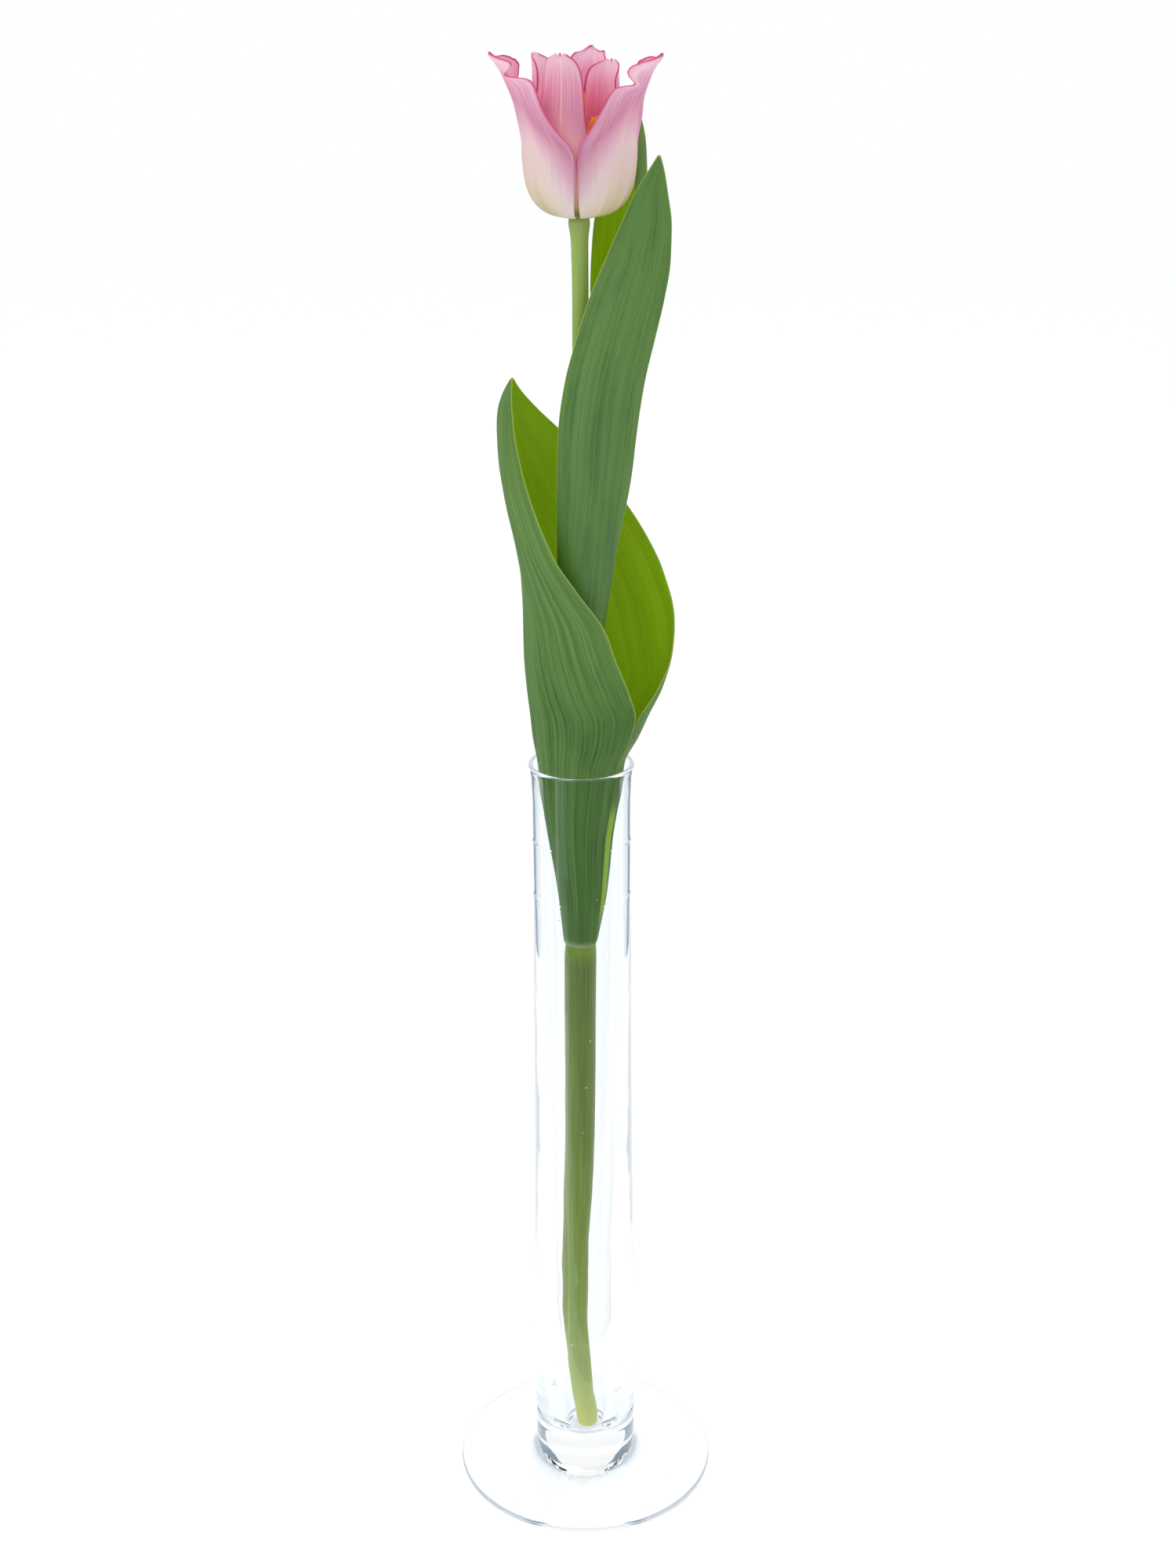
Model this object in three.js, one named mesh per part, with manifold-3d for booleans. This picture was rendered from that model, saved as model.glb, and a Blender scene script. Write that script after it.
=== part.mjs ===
// A single crown tulip in a tall slim clear glass vase with a disc foot.
// Millimetres, +Z up. The origin is the centre of the foot's flat underside.
// +X is to the right and -Y to the front, where the seam between two outer petals faces.

import * as THREE from "three";
import { mergeVertices } from "three/addons/utils/BufferGeometryUtils.js";
import Module from "manifold-3d";

const wasm = await Module();
wasm.setup();

// Driving dimensions of the vase
const VASE_HEIGHT = 350;
const TUBE_RADIUS = 21.5;
const RIM_WALL = 1.8;
const FOOT_RADIUS = 58.5;
const FOOT_EDGE = 3;
const WELL_FLOOR = 20;

// Driving dimensions of the flower and its stem
const NODE_HEIGHT = 268;
const FLOWER_BASE = 571.5;
const FLOWER_X = 0.5;
const LEAF_THICKNESS = 0.8;
const PETAL_THICKNESS = 0.7;
const SEAT_GAP = 0.3;

const DEGREE = Math.PI / 180;

// A smooth curve through hand-placed stations: the value in one column at a height or length.
// Its slope never passes the slopes beside it, so it doesn't swing past a station.
function smooth(stations, column, at) {
  const last = stations.length - 1;
  let left = 0;
  while (left < last - 1 && at > stations[left + 1][0]) left += 1;
  const [a, b] = [stations[left], stations[left + 1]];
  const span = b[0] - a[0];
  const secant = (k) => {
    const [low, high] = [stations[k], stations[k + 1]];
    return (high[column] - low[column]) / (high[0] - low[0]);
  };
  const slope = (k) => {
    if (k === 0 || k === last) return secant(Math.min(k, last - 1));
    const [before, after] = [secant(k - 1), secant(k)];
    return before * after <= 0 ? 0 : (2 * before * after) / (before + after);
  };
  const t = THREE.MathUtils.clamp((at - a[0]) / span, 0, 1);
  const rise = (3 - 2 * t) * t * t;
  const lean = t * (1 - t);
  return (
    a[column] * (1 - rise) + b[column] * rise + span * lean * ((1 - t) * slope(left) - t * slope(left + 1))
  );
}

// A thin leaf or petal. point(across, along) gives its middle surface, both counted from 0 to 1,
// with the outer side to the right of a walk across. Both faces carry the same triangles.
function sheet(columns, rows, thickness, point) {
  const step = 1e-3;
  const faces = [[], []];
  for (let j = 0; j <= rows; j += 1) {
    for (let i = 0; i <= columns; i += 1) {
      const [across, along] = [i / columns, j / rows];
      const here = point(across, along);
      const side = point(Math.min(across + step, 1), along).sub(point(Math.max(across - step, 0), along));
      const up = point(across, Math.min(along + step, 1)).sub(point(across, Math.max(along - step, 0)));
      const out = side.cross(up).setLength(thickness / 2);
      faces[0].push(here.clone().add(out));
      faces[1].push(here.sub(out));
    }
  }
  const count = faces[0].length;
  const index = [];
  const quad = (a, b, c, d) => index.push(a, b, c, a, c, d);
  const at = (i, j) => j * (columns + 1) + i;
  for (let j = 0; j < rows; j += 1) {
    for (let i = 0; i < columns; i += 1) {
      const [a, b, c, d] = [at(i, j), at(i + 1, j), at(i + 1, j + 1), at(i, j + 1)];
      quad(a, b, c, d);
      index.push(count + a, count + c, count + b, count + a, count + d, count + c);
    }
    quad(at(0, j), at(0, j + 1), count + at(0, j + 1), count + at(0, j));
    quad(at(columns, j + 1), at(columns, j), count + at(columns, j), count + at(columns, j + 1));
  }
  for (let i = 0; i < columns; i += 1) {
    quad(at(i + 1, 0), at(i, 0), count + at(i, 0), count + at(i + 1, 0));
    quad(at(i, rows), at(i + 1, rows), count + at(i + 1, rows), count + at(i, rows));
  }
  const geometry = new THREE.BufferGeometry();
  const positions = faces.flat().flatMap((p) => [p.x, p.y, p.z]);
  geometry.setAttribute("position", new THREE.Float32BufferAttribute(positions, 3));
  geometry.setIndex(index);
  return geometry;
}

// A closed column of level rings: a cylinder whose rings are moved to section(height, angle).
function column(sides, heights, section) {
  const geometry = new THREE.CylinderGeometry(1, 1, 1, sides, heights.length - 1);
  geometry.rotateX(Math.PI / 2);
  const place = geometry.attributes.position;
  for (let k = 0; k < place.count; k += 1) {
    const height = heights[Math.round((place.getZ(k) + 0.5) * (heights.length - 1))];
    const reach = Math.hypot(place.getX(k), place.getY(k));
    const ring = section(height, Math.atan2(place.getY(k), place.getX(k)));
    place.setXYZ(
      k,
      ring.center.x + reach * ring.x,
      ring.center.y + reach * ring.y,
      height,
    );
  }
  return closed(geometry);
}

// Only the corners, each shared by the triangles round it
function closed(geometry) {
  geometry.deleteAttribute("normal");
  geometry.deleteAttribute("uv");
  return mergeVertices(geometry, 1e-4);
}

function solid(geometry) {
  const merged = closed(geometry.clone());
  const vertProperties = Float32Array.from(merged.attributes.position.array);
  const triVerts = Uint32Array.from(merged.index.array);
  return new wasm.Manifold(new wasm.Mesh({ numProp: 3, vertProperties, triVerts }));
}

function geometryOf(manifold) {
  const mesh = manifold.getMesh();
  const geometry = new THREE.BufferGeometry();
  geometry.setAttribute("position", new THREE.BufferAttribute(Float32Array.from(mesh.vertProperties), 3));
  geometry.setIndex(new THREE.BufferAttribute(Uint32Array.from(mesh.triVerts), 1));
  return geometry;
}

const part = new THREE.Group();

function piece(name, geometry, color, roughness) {
  const material = new THREE.MeshStandardMaterial({ color, roughness, metalness: 0 });
  const mesh = new THREE.Mesh(geometry, material);
  mesh.name = name;
  part.add(mesh);
}

// Heights spread evenly between two ends
function levels(from, to, count) {
  return Array.from({ length: count + 1 }, (_, k) => from + ((to - from) * k) / count);
}

// The well inside the glass: height, radius. The wall grows thick and heavy towards the foot.
const WELL = [
  [WELL_FLOOR, 6.8],
  [20.9, 7.8],
  [23, 9],
  [27, 9.9],
  [34, 10.5],
  [50, 11.2],
  [70, 12],
  [109, 13.2],
  [158, 15.1],
  [205, 17.6],
  [250, 19.1],
  [300, TUBE_RADIUS - RIM_WALL],
  [VASE_HEIGHT, TUBE_RADIUS - RIM_WALL],
];

// The glass outside: height, radius, from the top of the foot to the rim
const TUBE = [
  [9.5, 22.9],
  [22, 22.9],
  [44, 23.05],
  [109, 22.6],
  [190, 21.7],
  [267, 21.3],
  [340, 21.4],
];

// Vase: one turned profile from the middle of the underside round to the floor of the well
function makeVase() {
  const lip = { radius: 21.15, height: VASE_HEIGHT - 1.15, bead: 1.15 };
  const profile = [
    [0, 0],
    [FOOT_RADIUS - 1.2, 0],
    [FOOT_RADIUS, 1.3],
    [FOOT_RADIUS - 0.5, FOOT_EDGE - 0.3],
    [FOOT_RADIUS - 2, FOOT_EDGE],
    [40, 4],
    [27, 5.4],
    [24, 6.8],
  ];
  for (const [height, radius] of TUBE) profile.push([radius, height]);
  for (const turn of [-10, 35, 90, 145]) {
    const angle = turn * DEGREE;
    profile.push([lip.radius + lip.bead * Math.cos(angle), lip.height + lip.bead * Math.sin(angle)]);
  }
  const down = [346, 300, 250, 205, 158, 109, 70, 50, 34, 27, 23, 20.9, WELL_FLOOR];
  for (const height of down) profile.push([smooth(WELL, 1, height), height]);
  profile.push([0, WELL_FLOOR]);
  const geometry = new THREE.LatheGeometry(profile.map(([x, y]) => new THREE.Vector2(x, y)), 36);
  geometry.rotateX(Math.PI / 2);
  return geometry;
}

// Stem: height, centre x, centre y, radius. It stands on the floor of the well, narrows where
// the rolled leaf grows from it and ends in the cone that carries the petals.
const STEM = [
  [WELL_FLOOR + SEAT_GAP, 1, -0.4, 4.4],
  [23, 0.8, -0.4, 5.1],
  [57, -2.9, -0.8, 5.2],
  [87, -4.3, -1, 5.9],
  [115, -4.1, -1, 6.2],
  [144, -2.7, -1, 6.6],
  [184, -1.5, -1, 6.8],
  [NODE_HEIGHT - 3, -0.8, -1, 6.9],
  [NODE_HEIGHT - 0.5, -0.5, -1, 5.6],
  [345, -0.3, -0.5, 4.6],
  [440, 0.3, 0, 3.7],
  [545, 0.8, 0, 3.2],
  [563, 0.6, 0, 3.4],
  [570.6, FLOWER_X, 0, 4.2],
  [571.4, FLOWER_X, 0, 3.9],
  [575.4, FLOWER_X, 0, 1.6],
];
const STEM_TOP = STEM[STEM.length - 1][0];

function makeStem() {
  const low = [WELL_FLOOR + SEAT_GAP, ...levels(23, NODE_HEIGHT - 3, 10), NODE_HEIGHT - 0.5];
  const heights = [...low, ...levels(290, 563, 10), 567.5, 570.6, 571.4, STEM_TOP];
  return column(14, heights, (height, angle) => {
    const center = { x: smooth(STEM, 1, height), y: smooth(STEM, 2, height) };
    const radius = smooth(STEM, 3, height);
    return { center, x: radius * Math.cos(angle), y: radius * Math.sin(angle) };
  });
}

// Lower leaf: height, centre x, centre y, half width, half depth, and the bearings of its inner
// and outer margins. It wraps more than once round the stem and opens to the right above the rim.
const LOWER_LEAF = [
  [NODE_HEIGHT, -0.4, -1, 7.1, 7.1, -397, -40],
  [280, 0.2, -1, 8.8, 8.7, -404, -45],
  [290, 0.6, -1, 10.2, 10, -407, -47],
  [300, 0.5, -1.1, 11.4, 11, -408, -47],
  [320, -0.1, -1.2, 14, 13.1, -408, -46],
  [330, 0, -1.2, 15.5, 14, -407, -45],
  [340, 0.2, -1.3, 17, 15, -406, -43],
  [351, 0.4, -1.4, 18.2, 15.8, -404, -41],
  [362, 2.3, -1.6, 22, 16.8, -400, -41],
  [372, 4, -1.7, 24.6, 17.6, -398, -44],
  [384, 6.1, -1.8, 28, 18.2, -385, -60],
  [399, 7.5, -1.8, 30.4, 18.7, -364, -76],
  [414, 8, -1.6, 31, 19, -350, -87],
  [430, 7.2, -1.3, 30.8, 19, -331, -107],
  [442, 4.6, -1, 30, 18.8, -323, -119],
  [457, 0, -0.7, 28.6, 17.4, -312, -125],
  [473, -6.3, 0, 25, 14.6, -301, -128],
  [486, -13, 0.4, 19.2, 11.6, -292, -127],
  [499, -21, 0.6, 10.6, 7.4, -284, -118],
  [506, -24.4, 0.4, 4.6, 3.6, -280, -112],
  [510.6, -25.8, 0, 0.55, 0.55, -275, -105],
];
const LOWER_LAP = 1.5;

// A rolled leaf's middle surface, from its inner margin round to its outer one
function rolled(stations, lap) {
  const [bottom, top] = [stations[0][0], stations[stations.length - 1][0]];
  return (across, along) => {
    const height = bottom + (top - bottom) * along;
    const [x, y, wide, deep, from, to] = [1, 2, 3, 4, 5, 6].map((k) => smooth(stations, k, height));
    const bearing = (from + (to - from) * across) * DEGREE;
    const spread = lap * Math.min(1, ((to - from) / 360) ** 4) * (across - 0.5);
    return new THREE.Vector3(
      x + (wide + spread) * Math.cos(bearing),
      y + (deep + spread) * Math.sin(bearing),
      height,
    );
  };
}

// Middle leaf: height, left margin x and y, right margin x and y, and how far it turns between them
const MIDDLE_LEAF = [
  [343, -5.3, 1.6, 4.7, 1.6, 226],
  [365, -6.6, 0.2, 6, 0.2, 200],
  [400, -8.5, -3.8, 8.7, -3.4, 150],
  [441, -9.1, -6.6, 14.6, -5.2, 100],
  [472, -9, -7.6, 20.6, -5, 76],
  [492, -8.2, -8, 23, -5.2, 66],
  [510, -5.6, -8.4, 25.8, -5.6, 60],
  [528, -0.6, -8.6, 30, -6, 54],
  [543, 4.3, -8.8, 33.4, -6.2, 50],
  [556, 9.8, -9, 35.4, -6.4, 47],
  [569, 15.7, -9, 35.7, -6.5, 44],
  [582, 21.8, -8.6, 34, -6.5, 40],
  [590, 26.8, -7.6, 32.6, -6.4, 34],
  [595.2, 30.3, -6.3, 31.1, -6.2, 24],
];

// A leaf arched from margin to margin, its outer side to the right of the walk across
function arched(stations) {
  const [bottom, top] = [stations[0][0], stations[stations.length - 1][0]];
  return (across, along) => {
    const height = bottom + (top - bottom) * along;
    const [ax, ay, bx, by, turn] = [1, 2, 3, 4, 5].map((k) => smooth(stations, k, height));
    const half = (turn / 2) * DEGREE;
    const radius = Math.hypot(bx - ax, by - ay) / 2 / Math.sin(half);
    const heading = Math.atan2(by - ay, bx - ax);
    const inward = radius * Math.cos(half);
    const x = (ax + bx) / 2 - inward * Math.sin(heading);
    const y = (ay + by) / 2 + inward * Math.cos(heading);
    const bearing = heading - Math.PI / 2 + half * (2 * across - 1);
    return new THREE.Vector3(x + radius * Math.cos(bearing), y + radius * Math.sin(bearing), height);
  };
}

// Upper leaf: height, centre x, centre y, half width, half depth, bearings of its two margins.
// Its right side curls forward, so that its back shows beside the flower.
const UPPER_LEAF = [
  [397, 0, -0.2, 5, 5, -42, 160],
  [420, 0.6, 0.3, 5.6, 5.6, -45, 165],
  [450, 3, 1.6, 6.8, 6.8, -46, 165],
  [490, 8.6, 5, 8.9, 8.9, -45, 170],
  [527, 14.8, 9, 10.2, 10.2, -46, 174],
  [550, 16, 12, 11, 11, -50, 178],
  [568, 16.8, 14.2, 10.5, 10.5, -56, 174],
  [583, 18.6, 16.4, 8.1, 8.1, -68, 158],
  [593, 19.6, 16.6, 6.8, 6.8, -74, 152],
  [600, 20.3, 15.7, 5.5, 5.5, -78, 142],
  [608, 20.7, 14.6, 3.2, 3.2, -80, 122],
  [613.8, 20.8, 13.8, 0.6, 0.6, -60, 100],
];

// Petals in the cup follow rings round the flower's axis. Towards the tip each one is pinched to
// a channel. Profile: length along the midrib, radius, height, half width, radius of the channel,
// rise of the plain margin, and the half widths on the notched side of the first and second petal.
const OUTER_PETAL = [
  [0, 4.9, 571.9, 4.4, 40, 0, 4.4, 4.4],
  [8, 12, 573.6, 11.7, 34, 0, 11.7, 11.7],
  [15.6, 17.7, 578.4, 17.8, 28, 0, 17.8, 17.8],
  [23.6, 20.7, 585.8, 21.3, 23, 0, 21.3, 21.3],
  [32.6, 21.6, 594.8, 22.6, 21, 0, 22.6, 22.6],
  [37.5, 21.7, 599.7, 20.8, 19, 0, 20.8, 21.6],
  [42, 22.4, 604.2, 17.4, 17, 0, 17.4, 19.2],
  [51, 24.9, 613, 13.2, 12, 0, 12.6, 14.8],
  [56, 27.1, 617.6, 13.4, 9.4, 0.6, 11.6, 12.2],
  [58, 28, 619.3, 14.4, 8.6, 1, 11, 9],
  [60, 29, 621.1, 14.4, 7.8, 1.6, 9.2, 5],
  [61.5, 29.7, 622.4, 13.4, 7.3, 2, 6.4, 8.4],
  [63, 30.4, 623.6, 12.2, 6.8, 2.2, 3, 9.4],
  [64.2, 30.9, 624.6, 11.2, 6.5, 2.1, 1.1, 9.2],
  [65.2, 31.4, 625.4, 9.8, 6.3, 1.9, 2.6, 8.6],
  [66.6, 32.2, 626.5, 8.8, 5.8, 1.4, 6.4, 7.3],
  [68, 33, 627.6, 7.6, 5.4, 0.8, 6, 6.3],
  [71, 34.7, 629.9, 3.6, 5, 0.1, 3.4, 3.4],
  [74, 36.4, 632.2, 0.5, 5, 0, 0.5, 0.5],
];
const INNER_PETAL = [
  [0, 3.6, 573.2, 2.5, 30, 0, 2.5, 2.5],
  [8, 10.2, 576.4, 7.9, 26, 0, 7.9, 7.9],
  [15, 15.4, 581, 12.7, 22, 0, 12.4, 12.7],
  [23, 18.2, 588.6, 16.4, 19, 0, 14.4, 16.4],
  [32, 18.8, 597.6, 16.6, 17, 0, 12, 17],
  [42, 18.4, 607.6, 13.8, 14, 0, 9.2, 15.6],
  [52, 17.8, 617.6, 11.4, 11, 0, 8.4, 14.6],
  [58, 17.7, 623.6, 10.6, 9.6, 0, 7.6, 13.6],
  [62, 17.8, 627.6, 9.4, 9, 0, 6.4, 10.6],
  [64.5, 18, 630.1, 6.8, 9, 0, 4.6, 6.8],
  [66.4, 18.1, 632, 2.4, 9, 0, 1.8, 2.4],
];

// notched is 1 where the notch is on the side of rising bearing, and -1 where it is on the other.
// notch is the column with the half width of that side.
function petalPoint(profile, bearing, lap, scale, notched, notch) {
  const long = profile[profile.length - 1][0];
  const [pinchFrom, pinchTo] = [0.56 * long, 0.84 * long];
  return (across, along) => {
    const length = long * along * (1.35 - 0.35 * along);
    const side = 2 * across - 1;
    const plain = side * notched <= 0;
    const columns = [1, 2, plain ? 3 : notch, 4, 5];
    const [radius, height, half, channel, crest] = columns.map((k) => smooth(profile, k, length));
    const angle = side * (half / radius);
    const ring = radius + lap * side;
    const cup = new THREE.Vector3(ring * Math.cos(angle), ring * Math.sin(angle), height);
    const rise = smooth(profile, 2, length + 0.1) - smooth(profile, 2, length - 0.1);
    const run = smooth(profile, 1, length + 0.1) - smooth(profile, 1, length - 0.1);
    const lean = Math.atan2(run, rise);
    const fold = (side * half) / channel;
    const depth = channel * (1 - Math.cos(fold));
    const pinched = new THREE.Vector3(
      radius - depth * Math.cos(lean),
      channel * Math.sin(fold) + lap * side * 0.2,
      height + depth * Math.sin(lean),
    );
    const share = THREE.MathUtils.smoothstep(length, pinchFrom, pinchTo);
    const point = cup.lerp(pinched, share);
    if (plain) point.z += crest * side * side;
    point.z = FLOWER_BASE + (point.z - FLOWER_BASE) * scale;
    point.applyAxisAngle(new THREE.Vector3(0, 0, 1), bearing * DEGREE);
    point.x += FLOWER_X;
    return point;
  };
}

// Bearing of each petal's midrib, its share of the full height, the side of its notch and the
// column with the half width there
const OUTER_SET = [
  [-153, 1, 1, 6],
  [-32.5, 0.99, -1, 7],
  [82, 1, 1, 3],
];
const INNER_SET = [
  [-110, 0.995, 1, 6],
  [46, 0.94, -1, 7],
  [157, 0.985, 1, 3],
];
const OUTER_LAP = 0.62;
const INNER_LAP = 0.62;

// Pistil: height above its foot, radius. Three lobes at the top are the stigma.
const PISTIL_FOOT = STEM_TOP + SEAT_GAP;
const PISTIL = [
  [0, 1.5, 0],
  [3, 2.5, 0.1],
  [10, 2.8, 0.14],
  [17, 2.2, 0.12],
  [19.5, 2, 0.2],
  [21, 3, 0.4],
  [23, 3.2, 0.42],
  [24.5, 1.6, 0.3],
];

function makePistil() {
  const heights = PISTIL.map((station) => PISTIL_FOOT + station[0]);
  return column(12, heights, (height, angle) => {
    const radius = smooth(PISTIL, 1, height - PISTIL_FOOT);
    const lobes = smooth(PISTIL, 2, height - PISTIL_FOOT);
    const reach = radius * (1 + lobes * (Math.cos(3 * angle) - 0.3));
    return { center: { x: FLOWER_X, y: 0 }, x: reach * Math.cos(angle), y: reach * Math.sin(angle) };
  });
}

// Stamens: six filaments rise from a ring round the cone's tip, each ending in a long anther.
// Height above the filament's root, radius.
const STAMEN_COUNT = 6;
const TALL_STAMEN = { index: 1, stretch: 1.25 };
const STAMEN_RING = { inner: 2.45, outer: 3.5, bottom: STEM_TOP - 0.9, top: STEM_TOP + 0.8 };
const STAMEN_ROOT = { height: STEM_TOP - 0.3, radius: 3, turn: 17, spread: 4.6 };
const STAMEN = [
  [0, 0.8],
  [2, 0.75],
  [17, 0.6],
  [18, 1.1],
  [20, 1.5],
  [31, 1.3],
  [33.5, 0.5],
];
const STAMEN_LENGTH = STAMEN[STAMEN.length - 1][0];

function makeStamens() {
  const { inner, outer, bottom, top } = STAMEN_RING;
  const corners = [
    [inner, bottom],
    [outer, bottom],
    [outer, top],
    [inner, top],
    [inner, bottom],
  ];
  const ring = new THREE.LatheGeometry(corners.map(([x, y]) => new THREE.Vector2(x, y)), 24);
  ring.rotateX(Math.PI / 2);
  ring.translate(FLOWER_X, 0, 0);
  let joined = solid(ring);
  for (let k = 0; k < STAMEN_COUNT; k += 1) {
    const bearing = ((k * 360) / STAMEN_COUNT + STAMEN_ROOT.turn) * DEGREE;
    const stretch = k === TALL_STAMEN.index ? TALL_STAMEN.stretch : 1;
    const heights = STAMEN.map((station) => STAMEN_ROOT.height + station[0] * stretch);
    const filament = column(8, heights, (height, angle) => {
      const up = (height - STAMEN_ROOT.height) / stretch;
      const out = STAMEN_ROOT.radius + STAMEN_ROOT.spread * (up / STAMEN_LENGTH) ** 1.5;
      const radius = smooth(STAMEN, 1, up);
      return {
        center: { x: FLOWER_X + out * Math.cos(bearing), y: out * Math.sin(bearing) },
        x: radius * Math.cos(angle),
        y: radius * Math.sin(angle),
      };
    });
    joined = joined.add(solid(filament));
  }
  return geometryOf(joined);
}

piece("vase", makeVase(), "#e4eef4", 0.05);
piece("stem", makeStem(), "#8fa556", 0.5);
piece("leaf_lower", sheet(20, 26, LEAF_THICKNESS, rolled(LOWER_LEAF, LOWER_LAP)), "#5d8a62", 0.6);
piece("leaf_middle", sheet(8, 24, LEAF_THICKNESS, arched(MIDDLE_LEAF)), "#4f7d56", 0.6);
piece("leaf_upper", sheet(12, 20, LEAF_THICKNESS, rolled(UPPER_LEAF, 0)), "#6b9c3e", 0.6);
OUTER_SET.forEach(([bearing, scale, notched, notch], k) => {
  const shape = petalPoint(OUTER_PETAL, bearing, OUTER_LAP, scale, notched, notch);
  piece(`tepal_outer_${k + 1}`, sheet(12, 26, PETAL_THICKNESS, shape), "#d9a3c4", 0.5);
});
INNER_SET.forEach(([bearing, scale, notched, notch], k) => {
  const shape = petalPoint(INNER_PETAL, bearing, INNER_LAP, scale, notched, notch);
  piece(`tepal_inner_${k + 1}`, sheet(10, 14, PETAL_THICKNESS, shape), "#e58fae", 0.5);
});
piece("pistil", makePistil(), "#a9bd62", 0.5);
piece("stamens", makeStamens(), "#e0b21c", 0.6);

export default part;
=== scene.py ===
"""A cut crown tulip standing in a tall slim clear glass vase with a disc foot."""

import math

import bmesh
import bpy
from bpy.props import FloatProperty, FloatVectorProperty, PointerProperty
from mathutils import Matrix, Vector, noise


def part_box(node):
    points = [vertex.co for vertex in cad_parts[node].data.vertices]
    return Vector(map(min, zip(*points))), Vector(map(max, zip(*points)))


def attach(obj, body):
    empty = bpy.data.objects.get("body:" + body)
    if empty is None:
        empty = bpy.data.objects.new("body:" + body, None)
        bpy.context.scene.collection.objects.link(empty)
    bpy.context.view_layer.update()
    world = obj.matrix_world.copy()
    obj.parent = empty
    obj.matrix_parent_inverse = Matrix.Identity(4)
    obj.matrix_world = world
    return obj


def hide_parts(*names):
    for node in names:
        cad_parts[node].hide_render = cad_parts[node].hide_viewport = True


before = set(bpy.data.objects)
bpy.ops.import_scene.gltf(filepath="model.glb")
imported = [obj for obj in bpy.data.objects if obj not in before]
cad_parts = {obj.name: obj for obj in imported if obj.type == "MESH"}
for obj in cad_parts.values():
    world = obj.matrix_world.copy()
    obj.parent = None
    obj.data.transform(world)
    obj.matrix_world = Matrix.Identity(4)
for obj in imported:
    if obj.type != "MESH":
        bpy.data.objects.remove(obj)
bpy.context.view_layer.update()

bl_info = {
    "name": "Crown tulip in a glass vase",
    "version": (1, 0, 0),
    "blender": (4, 5, 0),
    "location": "View3D > Sidebar > Tulip",
    "description": "Builds a cut crown tulip in a tall clear glass vase, with its stage",
    "category": "Object",
}

VASE_LOW, VASE_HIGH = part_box("vase")

# The shapes below are in millimetres, and the scene is in metres.
MM = 0.001


# Colour and node helpers


def linear(code):
    """The linear colour, with full alpha, of an sRGB hex code such as #8fa556."""
    parts = [int(code[k : k + 2], 16) / 255 for k in (1, 3, 5)]
    return (*(c / 12.92 if c <= 0.04045 else ((c + 0.055) / 1.055) ** 2.4 for c in parts), 1.0)


def add(tree, kind, sockets=None, stops=None, **settings):
    """Add a node, set its properties, and give its sockets values or links."""
    made = tree.nodes.new(kind)
    for name, value in settings.items():
        setattr(made, name, value)
    if stops:
        ramp = made.color_ramp
        ramp.elements.remove(ramp.elements[0])
        ramp.elements[0].position, ramp.elements[0].color = stops[0]
        for position, color in stops[1:]:
            ramp.elements.new(position).color = color
    for key, value in (sockets or {}).items():
        if isinstance(value, bpy.types.NodeSocket):
            tree.links.new(value, made.inputs[key])
        else:
            made.inputs[key].default_value = value
    return made


def new_material(name):
    """An empty node material and its tree."""
    material = bpy.data.materials.new(name)
    material.use_nodes = True
    material.node_tree.nodes.clear()
    return material, material.node_tree


# Sizes and colours


class TulipSizes(bpy.types.PropertyGroup):
    """Sizes of the vase and the flower's sheets."""

    rim_height: FloatProperty(
        name="Rim height",
        description="Height of the vase's rim over its underside",
        default=VASE_HIGH.z,
        unit="LENGTH",
    )
    foot_radius: FloatProperty(
        name="Foot radius",
        description="Radius of the disc foot",
        default=VASE_HIGH.x,
        unit="LENGTH",
    )
    leaf_thickness: FloatProperty(
        name="Leaf thickness",
        description="Thickness of the leaf blades",
        default=0.65 * MM,
        unit="LENGTH",
    )
    petal_thickness: FloatProperty(
        name="Petal thickness",
        description="Thickness of the petals",
        default=0.5 * MM,
        unit="LENGTH",
    )
    wall_ripple: FloatProperty(
        name="Wall ripple",
        description="How far the blown inner wall wanders near the base",
        default=0.26 * MM,
        unit="LENGTH",
    )


def colour(name, description, code):
    """A colour property with an sRGB hex default."""
    return FloatVectorProperty(
        name=name, description=description, default=linear(code), size=4, min=0, max=1, subtype="COLOR"
    )


class TulipColours(bpy.types.PropertyGroup):
    """Colours of the plant and the stage."""

    leaf_deep: colour("Leaf, deep", "Deep green between the veins of a leaf's back", "#41682b")
    leaf_bloom: colour("Leaf, bloom", "Grey-green waxy bloom on a leaf's back", "#547935")
    leaf_inside: colour("Leaf, inside", "Fresh green of a leaf's inner side", "#93c010")
    leaf_margin: colour("Leaf margin", "Pale line along a leaf's margin", "#b9c860")
    stem_top: colour("Stem, top", "Yellow-green of the stem under the flower", "#7f9c32")
    stem_low: colour("Stem, low", "Olive green of the stem in the vase", "#6f8339")
    petal_base: colour("Petal base", "Green-yellow at the foot of a petal", "#b7b45c")
    petal_cream: colour("Petal, cream", "Cream white of a petal's lower part", "#f3efd8")
    petal_lilac: colour("Petal, lilac", "Lilac pink of a petal's upper part", "#d08ab2")
    petal_inside: colour("Petal, inside", "Coral pink of a petal's inner side", "#ff9dbb")
    petal_margin: colour("Petal margin", "Deep pink line along a petal's upper margin", "#dd4f8a")
    anther: colour("Anther", "Golden pollen", "#e8a90f")
    pistil: colour("Pistil", "Pale green of the ovary", "#b9c877")
    floor: colour("Floor", "The pale floor", "#f6f6f6")


# Shapes


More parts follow.
